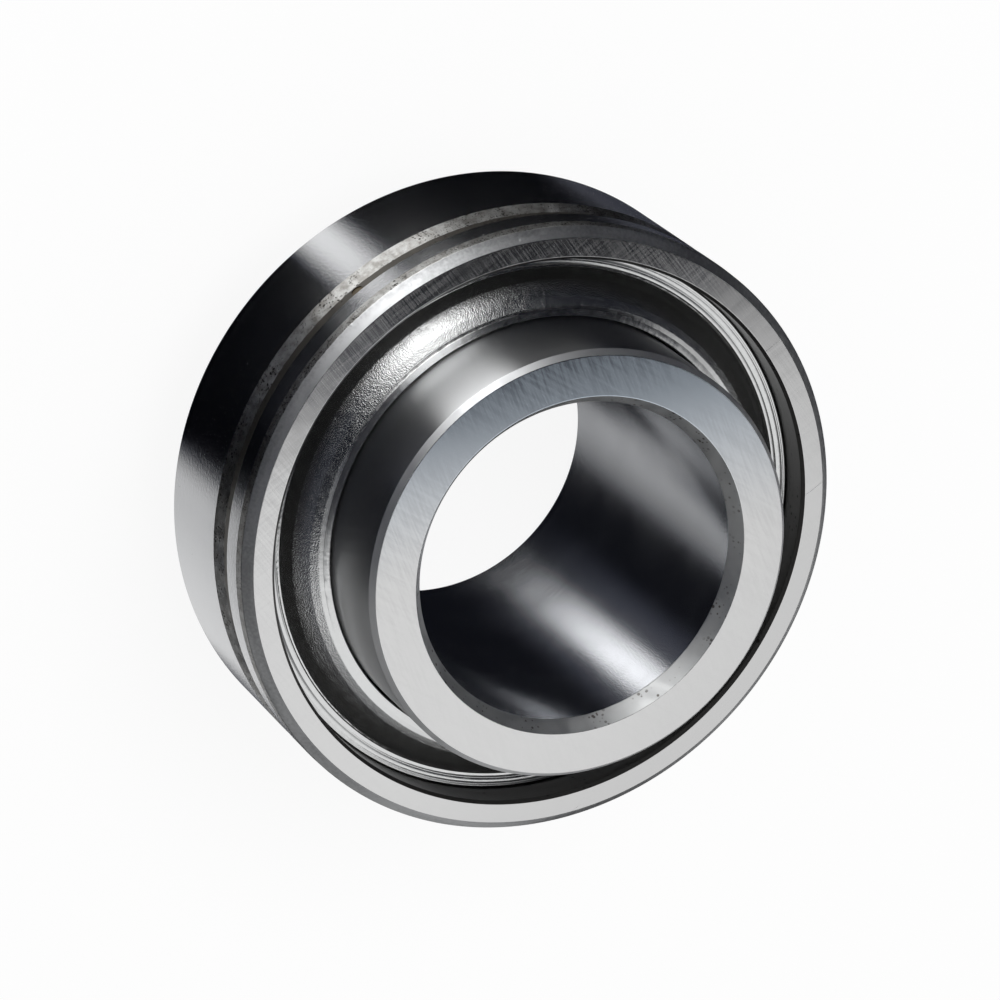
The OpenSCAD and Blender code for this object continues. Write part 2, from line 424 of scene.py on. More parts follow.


# %% [markdown]
# ### Ground faces
#
# The flat faces are ground between wheels, which leaves a fine hatch, and handling adds
# some longer scratches. A bright face shows them softly, and where the face mirrors
# something dark they light up, because a scratch scatters light from everywhere.
# The inner ring's ends are also tinted a little blue towards one side. That tint is a painted
# reflection: it stands for bluish light mirrored on that side, not for anything on the steel.

# %% Ground face steel
def face_finish(tree):
    hatch = strokes(tree, 80, 0.22, 9)
    across = strokes(tree, 166, 0.4, 14, seed=0.03)
    nicked = scratches(tree, 166, 0.7, 8, 0.09, seed=0.011)
    slashed = scratches(tree, 150, 1.6, 5, 0.08, seed=0.023)
    scratch = add(tree, "ShaderNodeMath", {0: nicked, 1: slashed}, operation="MAXIMUM").outputs[0]
    smooth = {0: total(tree, (hatch, 0.6), (across, 0.4)), 1: 0.35, 2: 0.65, 3: 0.12, 4: 0.2}
    smooth = add(tree, "ShaderNodeMapRange", smooth, **SMOOTH).outputs[0]
    torn = add(tree, "ShaderNodeMath", {0: scratch, 1: 0.6}, operation="MULTIPLY").outputs[0]
    return {
        "height": total(tree, (hatch, 1.0), (across, 0.6), (scratch, 0.5)),
        "deep_mm": 0.002,
        "dull": add(tree, "ShaderNodeMath", {0: smooth, 1: torn}, operation="MAXIMUM").outputs[0],
    }


face_steel = steel("ground_face_steel", "#CECECE", 0.2, face_finish)


def end_finish(tree):
    hatch = strokes(tree, 66, 0.35, 5)
    across = strokes(tree, 100, 0.5, 9, seed=0.03)
    nicked = scratches(tree, 160, 1.4, 8, 0.06, seed=0.017)
    slashed = scratches(tree, 72, 1.1, 6, 0.06, seed=0.029)
    scratch = add(tree, "ShaderNodeMath", {0: nicked, 1: slashed}, operation="MAXIMUM").outputs[0]
    smooth = {0: total(tree, (hatch, 0.6), (across, 0.4)), 1: 0.35, 2: 0.65, 3: 0.14, 4: 0.21}
    smooth = add(tree, "ShaderNodeMapRange", smooth, **SMOOTH).outputs[0]
    torn = add(tree, "ShaderNodeMath", {0: scratch, 1: 0.42}, operation="MULTIPLY").outputs[0]
    here = add(tree, "ShaderNodeTexCoord").outputs["Object"]
    # the blue towards this side is a painted reflection, blended in over 34 mm
    painted_blue_side = (-0.7, -0.7, 0)
    one_side = add(tree, "ShaderNodeVectorMath", {0: here, 1: painted_blue_side}, operation="DOT_PRODUCT")
    painted_blue_share = {0: one_side.outputs["Value"], 1: 0, 2: 34 * MM}
    painted_blue_share = add(tree, "ShaderNodeMapRange", painted_blue_share, **SMOOTH).outputs[0]
    colour = {0: painted_blue_share, 6: linear("#CFCFCF"), 7: linear("#B9C4CF")}
    return {
        "height": total(tree, (hatch, 1.0), (across, 0.5), (scratch, 0.5)),
        "deep_mm": 0.0008,
        "colour": add(tree, "ShaderNodeMix", colour, **COLOUR).outputs[2],
        "dull": add(tree, "ShaderNodeMath", {0: smooth, 1: torn}, operation="MAXIMUM").outputs[0],
    }


end_steel = steel("ground_end_steel", "#CCCDCF", 0.18, end_finish)


# %% [markdown]
# ### Inner ring edge
#
# The chamfer round the outside of the inner ring is ground together with the land below
# it, so it is smooth, with rings that are hardly seen.

# %% Smooth edge steel
def edge_finish(tree):
    dull = {0: specks(tree, 2.0), 1: 0.3, 2: 0.7, 3: 0.44, 4: 0.52}
    return {
        "height": total(tree, (rings(tree, 0.3, 20, seed=8.0), 1.0), (specks(tree, 0.6), 0.3)),
        "deep_mm": 0.004,
        "dull": add(tree, "ShaderNodeMapRange", dull, **SMOOTH).outputs[0],
    }


edge_steel = steel("ground_edge_steel", "#CACBCC", 0.48, edge_finish, ridges=0.5)


# %% [markdown]
# ### Honed bore
#
# The bore slides on a shaft, so it is honed: a near mirror with rings so fine that they
# only fray the edges of a highlight.

# %% Honed bore steel
def bore_finish(tree):
    fine = rings(tree, 0.25, 4)
    dull = {0: specks(tree, 9), 1: 0.3, 2: 0.7, 3: 0.16, 4: 0.2}
    return {
        "height": total(tree, (fine, 1.0), (specks(tree, 0.3, detail=3.0), 1.2)),
        "deep_mm": 0.011,
        "dull": add(tree, "ShaderNodeMapRange", dull, **SMOOTH).outputs[0],
    }


bore_steel = steel("honed_bore_steel", "#C8CACE", 0.2, bore_finish, ridges=0.5)


# %% [markdown]
# ### Bore chamfer and seal land
#
# The chamfer at the bore's mouth is turned and then handled: cloudy, with a few brown
# stains. The band under the rubber lips is ground as finely as the lands.

# %% Chamfer at the bore, and the ground seal land
def stained_finish(tree):
    lines = rings(tree, 0.3, 20, seed=5.0)
    cloud = specks(tree, 2.2)
    stains = pitted(tree, 0.6, 0.34, 5)
    worn = add(tree, "ShaderNodeMapRange", {0: cloud, 1: 0.3, 2: 0.7}, **SMOOTH).outputs[0]
    worn = {0: worn, 6: linear("#BDBEBE"), 7: linear("#C6C7C7")}
    worn = add(tree, "ShaderNodeMix", worn, **COLOUR).outputs[2]
    brown = add(tree, "ShaderNodeMath", {0: stains, 1: 0.8}, operation="MULTIPLY").outputs[0]
    colour = {0: brown, 6: worn, 7: linear("#4A4038")}
    dull = {0: cloud, 1: 0.3, 2: 0.7, 3: 0.42, 4: 0.52}
    return {
        "height": total(tree, (lines, 1.0), (specks(tree, 0.45), 0.5), (cloud, 0.6)),
        "deep_mm": 0.006,
        "colour": add(tree, "ShaderNodeMix", colour, **COLOUR).outputs[2],
        "dull": add(tree, "ShaderNodeMapRange", dull, **SMOOTH).outputs[0],
    }


stained_steel = steel("turned_bore_chamfer_steel", "#C2C3C3", 0.47, stained_finish)


def seal_land_finish(tree):
    short = rings(tree, 0.3, 2.5, seed=9.0)
    long = rings(tree, 0.5, 40, seed=1.0)
    dust = dots(tree, 2.2, 0.2, seed=5.0)
    dusty = add(tree, "ShaderNodeMath", {0: dust, 1: 0.6}, operation="MULTIPLY").outputs[0]
    return {
        "height": total(tree, (short, 1.0), (long, 0.8), (specks(tree, 0.6), 0.5)),
        "deep_mm": 0.008,
        "dull": add(tree, "ShaderNodeMath", {0: 0.28, 1: dusty}, operation="MAXIMUM").outputs[0],
    }


seal_land_steel = steel("ground_seal_land_steel", "#CECFD0", 0.28, seal_land_finish, ridges=1.0)


# %% [markdown]
# ### Plated cap
#
# The seal's cap is pressed from thin sheet and plated. Pressing stretches the sheet over
# its bends and gives it the grain of orange peel, which breaks a highlight into sparks.
# The crown and the rim are struck flat by the press, so they are smoother.

# %% Plated pressed cap
def cap_finish(tree):
    peel = specks(tree, 0.24, detail=2.0)
    wide = specks(tree, 1.1)
    dull = {0: wide, 1: 0.3, 2: 0.7, 3: 0.2, 4: 0.27}
    return {
        "height": total(tree, (peel, 1.0), (wide, 0.5), (rings(tree, 0.4, 12, seed=3.0), 0.1)),
        "deep_mm": 0.05,
        "dull": add(tree, "ShaderNodeMapRange", dull, **SMOOTH).outputs[0],
    }


def struck_finish(tree):
    lines = rings(tree, 0.22, 30, seed=6.0)
    nicks = scratches(tree, 115, 1.5, 3, 0.2, seed=0.019)
    smooth = {0: specks(tree, 1.1), 1: 0.3, 2: 0.7, 3: 0.14, 4: 0.2}
    smooth = add(tree, "ShaderNodeMapRange", smooth, **SMOOTH).outputs[0]
    return {
        "height": total(tree, (lines, 1.0), (specks(tree, 0.4), 0.6), (nicks, 2.5)),
        "deep_mm": 0.006,
        "dull": total(tree, (smooth, 1.0), (nicks, 0.4)),
    }


cap_steel = steel("plated_cap_steel", "#D2D3D3", 0.18, cap_finish)
struck_steel = steel("struck_cap_steel", "#D2D3D3", 0.22, struck_finish)


# %% [markdown]
# ### Balls, cage, rivets and seal parts
#
# The balls are lapped to a mirror. The cage halves, the rivets and the carriers are plain
# pressed steel, and the lips are moulded nitrile rubber, a dull near-black. The grease
# that has dried in the lubrication hole is brown, with some shine left.

# %% Lapped, pressed and moulded finishes
def lapped_finish(tree):
    dull = {0: specks(tree, 3), 1: 0.3, 2: 0.7, 3: 0.05, 4: 0.09}
    return {
        "height": specks(tree, 0.8),
        "deep_mm": 0.001,
        "dull": add(tree, "ShaderNodeMapRange", dull, **SMOOTH).outputs[0],
    }


def pressed_finish(tree):
    wide = specks(tree, 1.5)
    bright = add(tree, "ShaderNodeMapRange", {0: wide, 1: 0.3, 2: 0.7}, **SMOOTH).outputs[0]
    colour = {0: bright, 6: linear("#9C9B98"), 7: linear("#B6B5B1")}
    dull = {0: wide, 1: 0.3, 2: 0.7, 3: 0.3, 4: 0.42}
    return {
        "height": total(tree, (specks(tree, 0.4), 1.0), (wide, 0.8)),
        "deep_mm": 0.012,
        "colour": add(tree, "ShaderNodeMix", colour, **COLOUR).outputs[2],
        "dull": add(tree, "ShaderNodeMapRange", dull, **SMOOTH).outputs[0],
    }


lapped_steel = steel("lapped_ball_steel", "#CFD0D2", 0.07, lapped_finish)
cage_steel = steel("pressed_cage_steel", "#A8A7A4", 0.36, pressed_finish)
rivet_steel = steel("headed_rivet_steel", "#B9B8B5", 0.32, pressed_finish)
carrier_steel = steel("stamped_carrier_steel", "#8E8F90", 0.4, pressed_finish)


def soft_skin(name, dark, light, dull):
    made = bpy.data.materials.new(name)
    made.use_nodes = True
    tree = made.node_tree
    shader = tree.nodes["Principled BSDF"]
    shader.inputs["Roughness"].default_value = dull
    bloom = {0: specks(tree, 2), 1: 0.3, 2: 0.7}
    bloom = add(tree, "ShaderNodeMapRange", bloom, **SMOOTH).outputs[0]
    colour = {0: bloom, 6: linear(dark), 7: linear(light)}
    colour = add(tree, "ShaderNodeMix", colour, **COLOUR).outputs[2]
    tree.links.new(colour, shader.inputs["Base Color"])
    grain = add(tree, "ShaderNodeBump", {"Height": specks(tree, 0.25), "Distance": 0.01 * MM})
    tree.links.new(grain.outputs[0], shader.inputs["Normal"])
    return made


rubber = soft_skin("moulded_nitrile_rubber", "#161617", "#232326", 0.55)
old_grease = soft_skin("dried_grease", "#4A3F2A", "#6E6045", 0.35)
print("materials:", len(bpy.data.materials))

# %% [markdown]
# ## A lathe made of Geometry Nodes
#
# The rings and the caps are all turned or pressed round one axis, so one tree makes them
# all. It takes a closed section, drawn as a ring of points at their radius and height,
# and lays a grid over it: one direction of the grid walks round the section, and the
# other turns it about Z. Each point of the section carries the number of its finish, and
# the tree ends by giving every face its material. A point may also carry wear: how far a
# fine noise may push it out of true, for edges that the press or the tool left ragged.

# %% Lathe tree
weld_distance = 1e-7  # metres, enough to join the first and the last column


def lathe_tree(finishes):
    tree = bpy.data.node_groups.new("lathe", "GeometryNodeTree")
    face = tree.interface
    face.new_socket("Geometry", in_out="INPUT", socket_type="NodeSocketGeometry")
    face.new_socket("Section points", in_out="INPUT", socket_type="NodeSocketInt")
    face.new_socket("Steps round", in_out="INPUT", socket_type="NodeSocketInt")
    face.new_socket("Wear grain", in_out="INPUT", socket_type="NodeSocketFloat")
    face.new_socket("Geometry", in_out="OUTPUT", socket_type="NodeSocketGeometry")
    given = add(tree, "NodeGroupInput").outputs
    across = add(tree, "FunctionNodeIntegerMath", {0: given[1], 1: 1}, operation="ADD").outputs[0]
    around = add(tree, "FunctionNodeIntegerMath", {0: given[2], 1: 1}, operation="ADD").outputs[0]
    grid = add(tree, "GeometryNodeMeshGrid", {2: around, 3: across}).outputs[0]
    index = add(tree, "GeometryNodeInputIndex").outputs[0]
    turned = add(tree, "FunctionNodeIntegerMath", {0: index, 1: across}, operation="DIVIDE_FLOOR")
    step = add(tree, "FunctionNodeIntegerMath", {0: index, 1: across}, operation="MODULO")
    spot = add(tree, "FunctionNodeIntegerMath", {0: step.outputs[0], 1: given[1]}, operation="MODULO")
    place = add(tree, "GeometryNodeInputPosition").outputs[0]
    corner = add(
        tree,
        "GeometryNodeSampleIndex",
        {0: given[0], 1: place, 2: spot.outputs[0]},
        data_type="FLOAT_VECTOR",
    ).outputs[0]
    share = add(tree, "ShaderNodeMath", {0: turned.outputs[0], 1: given[2]}, operation="DIVIDE")
    angle = add(tree, "ShaderNodeMath", {0: share.outputs[0], 1: math.tau}, operation="MULTIPLY")
    swung = add(
        tree,
        "ShaderNodeVectorRotate",
        {"Vector": corner, "Angle": angle.outputs[0]},
        rotation_type="Z_AXIS",
    ).outputs[0]
    shaped = add(tree, "GeometryNodeSetPosition", {0: grid, 2: swung}).outputs[0]
    number = add(tree, "GeometryNodeInputNamedAttribute", {0: "finish"}, data_type="INT").outputs[0]
    strip = add(tree, "FunctionNodeIntegerMath", {0: index, 1: given[1]}, operation="MODULO")
    finish = add(
        tree,
        "GeometryNodeSampleIndex",
        {0: given[0], 1: number, 2: strip.outputs[0]},
        data_type="INT",
    ).outputs[0]
    shaped = add(
        tree,
        "GeometryNodeStoreNamedAttribute",
        {0: shaped, 2: "finish_here", 3: finish},
        data_type="INT",
        domain="FACE",
    ).outputs[0]
    wear = add(tree, "GeometryNodeInputNamedAttribute", {0: "wear"}, data_type="FLOAT").outputs[0]
    amount = add(
        tree,
        "GeometryNodeSampleIndex",
        {0: given[0], 1: wear, 2: spot.outputs[0]},
        data_type="FLOAT",
    ).outputs[0]
    shaped = add(
        tree,
        "GeometryNodeStoreNamedAttribute",
        {0: shaped, 2: "wear_here", 3: amount},
        data_type="FLOAT",
        domain="POINT",
    ).outputs[0]
    shaped = add(tree, "GeometryNodeMergeByDistance", {0: shaped, 2: weld_distance}).outputs[0]
    grains = add(tree, "ShaderNodeMath", {0: 1.0, 1: given[3]}, operation="DIVIDE").outputs[0]
    rough = add(tree, "ShaderNodeTexNoise", {"Scale": grains, "Detail": 2}).outputs[0]
    centred = add(tree, "ShaderNodeMath", {0: rough, 1: 0.5}, operation="SUBTRACT").outputs[0]
    held = add(tree, "GeometryNodeInputNamedAttribute", {0: "wear_here"}, data_type="FLOAT")
    scaled = add(tree, "ShaderNodeMath", {0: centred, 1: held.outputs[0]}, operation="MULTIPLY")
    outward = add(tree, "GeometryNodeInputNormal").outputs[0]
    push = add(
        tree,
        "ShaderNodeVectorMath",
        {0: outward, 3: scaled.outputs[0]},
        operation="SCALE",
    ).outputs[0]
    shaped = add(tree, "GeometryNodeSetPosition", {0: shaped, 3: push}).outputs[0]
    shaped = add(tree, "GeometryNodeSetShadeSmooth", {0: shaped, 2: True}).outputs[0]
    shaped = add(tree, "GeometryNodeRealizeInstances", {0: shaped}).outputs[0]
    here = add(tree, "GeometryNodeInputNamedAttribute", {0: "finish_here"}, data_type="INT")
    for count, finish_material in enumerate(finishes):
        mine = add(
            tree,
            "FunctionNodeCompare",
            {2: here.outputs[0], 3: count},
            data_type="INT",
            operation="EQUAL",
        ).outputs[0]
        shaped = add(
            tree,
            "GeometryNodeSetMaterial",
            {0: shaped, 1: mine, 2: finish_material},
        ).outputs[0]
    add(tree, "NodeGroupOutput", {0: shaped})
    return tree


# %% [markdown]
# ## Drawing a section
#
# No machined edge is perfectly sharp: a tiny round catches a line of light and tells the
# eye that the part is solid. `rounded` takes the corners of a section, with the round
# that each one has, and returns points along the true outline. Beside each round it adds
# one more point on the flat, so that smooth shading stays flat up to the edge.
# Each corner row is radius, height, round, finish of the side that follows, and wear.

# %% Rounded section
def rounded(corners, steps=3, guard=0.1):
    made = []
    count = len(corners)
    for i, (r, z, bend, finish, wear) in enumerate(corners):
        here = Vector((r, z))
        before = Vector(corners[i - 1][:2])
        after = Vector(corners[(i + 1) % count][:2])
        came = (here - before).normalized()
        goes = (after - here).normalized()
        turn_by = came.angle_signed(goes)
        old_finish = corners[i - 1][3]
        if bend <= 0 or abs(turn_by) < 0.02:
            made.append((r, z, finish, wear))
            continue
        back = bend * math.tan(abs(turn_by) / 2)
        room_before = (here - before).length * (0.45 if corners[i - 1][2] else 0.98)
        room_after = (after - here).length * (0.45 if corners[(i + 1) % count][2] else 0.98)
        room = min(room_before, room_after)
        if back > room:
            bend, back = bend * room / back, room
        start, end = here - came * back, here + goes * back
        side = Vector((-came.y, came.x)) * (-1 if turn_by > 0 else 1)
        centre = start + side * bend
        if (here - before).length > 3 * guard + 2 * back:
            made.append((*(start - came * guard), old_finish, wear))
        parts = max(steps, math.ceil(abs(turn_by) / math.radians(14)))
        for s in range(parts + 1):
            spin = -turn_by * s / parts
            arm = start - centre
            turned = Vector(
                (
                    arm.x * math.cos(spin) - arm.y * math.sin(spin),
                    arm.x * math.sin(spin) + arm.y * math.cos(spin),
                )
            )
            made.append((*(centre + turned), old_finish if s < parts / 2 else finish, wear))
        if (after - here).length > 3 * guard + 2 * back:
            made.append((*(end + goes * guard), finish, wear))
    return made


def raceway(centre_r, inward, finish, low_edge, high_edge, steps=24):
    """Corner rows along the ball groove, from low_edge to high_edge in height."""
    rows = []
    start = math.asin(low_edge / race_r)
    stop = math.asin(high_edge / race_r)
    for s in range(steps + 1):
        a = start + (stop - start) * s / steps
        rows.append((centre_r + inward * race_r * math.cos(a), race_r * math.sin(a), 0, finish, 0))
    return rows


# %% [markdown]
# ## Turning a section into a piece
#
# The section goes into a small mesh of loose points, the lathe modifier turns it, and
# `new_from_object` bakes the result to a plain mesh, so that nothing live is left on the
# finished piece.

# %% Turn a piece
def turn_piece(name, section, finishes, steps_round=480, grain_mm=0.8):
    points = bpy.data.meshes.new(name + "_section")
    points.from_pydata([(r * MM, 0, z * MM) for r, z, _, _ in section], [], [])
    numbers = points.attributes.new("finish", "INT", "POINT")
    numbers.data.foreach_set("value", [row[2] for row in section])
    worn = points.attributes.new("wear", "FLOAT", "POINT")
    worn.data.foreach_set("value", [row[3] * MM for row in section])
    tool = bpy.data.objects.new(name + "_lathe", points)
    bpy.context.collection.objects.link(tool)
    tree = lathe_tree(finishes)
    lathe = tool.modifiers.new("lathe", "NODES")
    lathe.node_group = tree
    sizes = {
        "Section points": len(section),
        "Steps round": steps_round,
        "Wear grain": grain_mm * MM,
    }
    for socket in tree.interface.items_tree:
        if socket.name in sizes:
            lathe[socket.identifier] = sizes[socket.name]
    seen = tool.evaluated_get(bpy.context.evaluated_depsgraph_get())
    mesh = bpy.data.meshes.new_from_object(seen)
    mesh.name = name
    bpy.data.objects.remove(tool)
    for extra in ("finish_here", "wear_here"):
        if extra in mesh.attributes:
            mesh.attributes.remove(mesh.attributes[extra])
    piece = bpy.data.objects.new(name, mesh)
    bpy.context.collection.objects.link(piece)
    print(f"{name}: {len(mesh.polygons)} faces, {len(section)} points in its section")
    return piece


# %% [markdown]
# ## Outer ring
#
# One ring of hardened steel. Outside it has a wide land, a shallow relubrication groove
# with a sloped side, and a narrow land that ends in a lead-in strip and a chamfer. Inside
# it has the raceway between two shoulders, and a recess on each side for the seal.

# %% Outer ring
LAND, BEVEL, CHAMFER, FACE, RECESS, RACE, GROOVE = range(7)
face_in_r = mouth_r + mouth_chamfer
strip_r = outer_r - lead_in[0]
strip_z = half_outer - front_chamfer[1]
outer_corners = [
    (seat_r, -seat_z, 0.1, RECESS, 0),
    (mouth_r, -seat_z, 0.1, RECESS, 0),
    # the rear mouth chamfer takes the recess metal, as a painted dark edge of shade
    (mouth_r, -half_outer + mouth_chamfer, 0.08, RECESS, 0),
    (face_in_r, -half_outer, 0.08, FACE, 0),
    (outer_r - rear_chamfer[0], -half_outer, 0.15, CHAMFER, 0),
    (outer_r, -half_outer + rear_chamfer[1], 0.3, LAND, 0),
    (outer_r, groove_z[0], 0.12, BEVEL, 0.03),
    (outer_r - groove_depth, groove_z[1], 0.2, GROOVE, 0.25),
    (outer_r - groove_depth, groove_z[2], 0.08, GROOVE, 0),
    (outer_r, groove_z[3], 0.08, LAND, 0),
    (outer_r, strip_z - lead_in[1], 0.05, BEVEL, 0),
    (strip_r, strip_z, 0.3, CHAMFER, 0),
    (strip_r - front_chamfer[0], half_outer, 0.1, FACE, 0.02),
    # the front mouth chamfer takes the recess metal, as a painted dark edge of shade
    (face_in_r, half_outer, 0.08, RECESS, 0.02),
    (mouth_r, half_outer - mouth_chamfer, 0.08, RECESS, 0),
    (mouth_r, seat_z, 0.1, RECESS, 0),
    (seat_r, seat_z, 0.1, RECESS, 0),
]
race_outer_r = pitch_r + ball_r + race_gap - race_r
race_edge = math.sqrt(race_r**2 - (seat_r - race_outer_r) ** 2)
outer_section = rounded(outer_corners) + [
    row[:2] + row[3:] for row in raceway(race_outer_r, 1, RACE, race_edge, -race_edge)
]
outer_ring = turn_piece(
    "outer_ring_finished",
    outer_section,
    [land_steel, bevel_steel, chamfer_steel, face_steel, recess_metal_painted_shade, lapped_steel, groove_steel],
)

# %% [markdown]
# Grease reaches the balls through one small hole in the floor of the groove. It is drilled
# straight in, so a cylinder is cut away, and the new edges are kept sharp. Old grease has
# dried in the hole and fills it nearly to its mouth.

# %% Lubrication hole
hole_r = 1.0
hole_angle = math.radians(258.1)  # between the ring's own columns, so the cut is clean
hole_z = 7.6
hole_steps = 40


def hole_bar(name, from_r, to_r, bar_r, material):
    outward = Vector((math.cos(hole_angle), math.sin(hole_angle), 0))
    sideways = Vector((-outward.y, outward.x, 0))
    points = []
    for r in (from_r, to_r):
        centre = outward * r + Vector((0, 0, hole_z))
        for i in range(hole_steps):
            a = math.tau * i / hole_steps
            rim = sideways * math.cos(a) + Vector((0, 0, math.sin(a)))
            points.append(tuple((centre + rim * bar_r) * MM))
    faces = [tuple(range(hole_steps))[::-1], tuple(range(hole_steps, 2 * hole_steps))]
    for i in range(hole_steps):
        j = (i + 1) % hole_steps
        faces.append((i, j, j + hole_steps, i + hole_steps))
    mesh = bpy.data.meshes.new(name)
    mesh.from_pydata(points, [], faces)
    mesh.materials.append(material)
    bar = bpy.data.objects.new(name, mesh)
    bpy.context.collection.objects.link(bar)
    return bar


def drilled(piece, from_r, to_r):
    # the hole's wall takes the recess metal, with its painted shade
    drill = hole_bar("drill", from_r, to_r, hole_r, recess_metal_painted_shade)
    cut = piece.modifiers.new("drill", "BOOLEAN")
    cut.operation = "DIFFERENCE"
    cut.solver = "EXACT"
    cut.material_mode = "TRANSFER"
    cut.object = drill
    seen = piece.evaluated_get(bpy.context.evaluated_depsgraph_get())
    done = bpy.data.meshes.new_from_object(seen)
    piece.modifiers.clear()
    piece.data = done
    bpy.data.objects.remove(drill)
    done.set_sharp_from_angle(angle=math.radians(35))


drilled(outer_ring, seat_r - 2, outer_r + 2)
groove_floor_r = outer_r - groove_depth
grease_plug = hole_bar("grease_in_hole", seat_r + 1, groove_floor_r - 0.15, hole_r - 0.02, old_grease)
print("outer ring with its hole:", len(outer_ring.data.polygons), "faces")

# %% [markdown]
# ## Inner ring
#
# The wide inner ring stands proud on both sides. Its ends are ground flat, its bore is
# honed, and the outside is ground where the rubber lips run.

# %% Inner ring
BORE, CHAMFER, END, EDGE, SEAL_LAND, TRACK = range(6)
race_inner_r = pitch_r - ball_r - race_gap + race_r
inner_edge = math.sqrt(race_r**2 - (race_inner_r - inner_r) ** 2)
lower_corners = [
    (bore_r, -half_inner + bore_chamfer[1], 0.25, CHAMFER, 0),
    (bore_r + bore_chamfer[0], -half_inner, 0.12, END, 0),
    (inner_r - inner_chamfer[0], -half_inner, 0.12, EDGE, 0),
    (inner_r, -half_inner + inner_chamfer[1], 0.15, SEAL_LAND, 0),
]
upper_corners = [
    (inner_r, half_inner - inner_chamfer[1], 0.15, EDGE, 0),
    (inner_r - inner_chamfer[0], half_inner, 0.12, END, 0),
    (bore_r + bore_chamfer[0], half_inner, 0.12, CHAMFER, 0),
    (bore_r, half_inner - bore_chamfer[1], 0.25, BORE, 0),
]
groove_rows = raceway(race_inner_r, -1, TRACK, -inner_edge, inner_edge)
groove_rows[-1] = groove_rows[-1][:3] + (SEAL_LAND, 0)
inner_section = rounded(lower_corners + groove_rows + upper_corners)
inner_ring = turn_piece(
    "inner_ring_finished",
    inner_section,
    [bore_steel, stained_steel, end_steel, edge_steel, seal_land_steel, lapped_steel],
)

# %% [markdown]
# ## Seal caps
#
# Each cap is a ring of pressed sheet. From the eye its crown falls a little, drops over a
# shoulder, runs down a cone in two slopes to a dished flange, and turns down into the
# mouth of the outer ring. The sheet has one thickness, so the inner face is the outer
# face moved inward. The cone's two slopes were found from where the highlights on the
# real one begin and end.

# %% Seal caps
PEEL, STRUCK = range(2)
cap_t = 0.9
flange_z = 10.77
foot_r = 42.0
belly_r, belly_z = 40.6, 12.44
shoulder_r, shoulder_z = 38.35, 14.33
crease_r, crease_z = 37.15, 15.12
eye_r, eye_z = 35.39, cap_high.z
crown_slope = (eye_z - crease_z) / (eye_r - crease_r)
flange_middle_r = 43.5
flange_dish = math.tan(math.radians(8))


def on_crown(r, proud=0.0):
    """A point of the crown, which falls in a straight line from the eye to the crease."""
    return (r, crease_z + (r - crease_r) * crown_slope + proud)


def on_flange(r, proud=0.0):
    """The press dishes the flange a little, so that its outer edge stands higher."""
    return (r, flange_z + (r - flange_middle_r) * flange_dish + proud)


def pressed_line(r, wide, deep):
    """A fine line that the press leaves round the flange."""
    return [
        (*on_flange(r + wide / 2), 0, STRUCK, 0),
        (*on_flange(r, -deep), 0, STRUCK, 0.01),
        (*on_flange(r - wide / 2), 0, STRUCK, 0),
    ]


cap_outside = [
    # the rim, and the dished flange with its fine lines and the press's ragged ridge
    (mouth_r, seat_z, 0.05, STRUCK, 0),
    (mouth_r, flange_z - 0.05, 0.15, STRUCK, 0.01),
    (*on_flange(44.6), 0.1, STRUCK, 0.01),
    *pressed_line(44.35, 0.12, 0.02),
    *pressed_line(44.12, 0.12, 0.02),
    *pressed_line(43.2, 0.16, 0.04),
    (*on_flange(42.5), 0.1, STRUCK, 0.01),
    (42.3, flange_z - 0.05, 0.15, STRUCK, 0.08),
    # the foot, the two slopes of the cone, and the shoulder
    (foot_r, flange_z, 0.8, PEEL, 0.03),
    (belly_r, belly_z, 1.5, PEEL, 0.02),
    (shoulder_r, shoulder_z, 1.2, PEEL, 0.02),
    (crease_r, crease_z, 0.6, STRUCK, 0.02),
    # the crease round the crown, and the eye
    (*on_crown(36.62), 0, STRUCK, 0),
    (*on_crown(36.5, 0.02), 0.06, STRUCK, 0.04),
    (*on_crown(36.38), 0, STRUCK, 0),
    (eye_r, eye_z, 0.15, STRUCK, 0.05),
]
cap_line = [(mouth_r, seat_z), (mouth_r, flange_z), (foot_r, flange_z), (belly_r, belly_z)]
cap_line += [(shoulder_r, shoulder_z), (crease_r, crease_z), (eye_r, eye_z)]


def moved_inward(path, thickness):
    points = [Vector(p) for p in path]
    moved = []
    for i, here in enumerate(points):
        sides = []
        if i > 0:
            sides.append((here - points[i - 1]).normalized())
        if i < len(points) - 1:
            sides.append((points[i + 1] - here).normalized())
        normals = [Vector((-d.y, d.x)) for d in sides]
        if len(normals) == 1:
            moved.append(here + normals[0] * thickness)
        else:
            both = normals[0] + normals[1]
            moved.append(here + both * thickness / (1 + normals[0].dot(normals[1])))
    return moved


def cap_section(side):
    inside = moved_inward(cap_line, cap_t)
    inner_bends = (0.05, 0.05, 0.8 + cap_t, 0.6, 0.3, 0.2, 0.05)
    rows = list(cap_outside)
    rows += [(p.x, p.y, b, STRUCK, 0) for p, b in zip(inside[::-1], inner_bends[::-1])]
    section = rounded(rows)
    if side < 0:
        turned = section[::-1]
        finishes_here = [row[2] for row in turned[1:]] + [turned[0][2]]
        section = [(r, -z, f, w) for (r, z, _, w), f in zip(turned, finishes_here)]
    return section


cap_finishes = [cap_steel, struck_steel]
front_cap = turn_piece("front_cap_finished", cap_section(1), cap_finishes, 1200, 0.5)
rear_cap = turn_piece("rear_cap_finished", cap_section(-1), cap_finishes, 720, 0.5)

# %% [markdown]
# ## Putting the pieces on the frame
#
# Each finished piece stands for one CAD node and rides on that node's body, so the inner
# ring turns and the outer ring stays. The balls, the cage and the rubber have the right
# shape already, so they only get their finish.

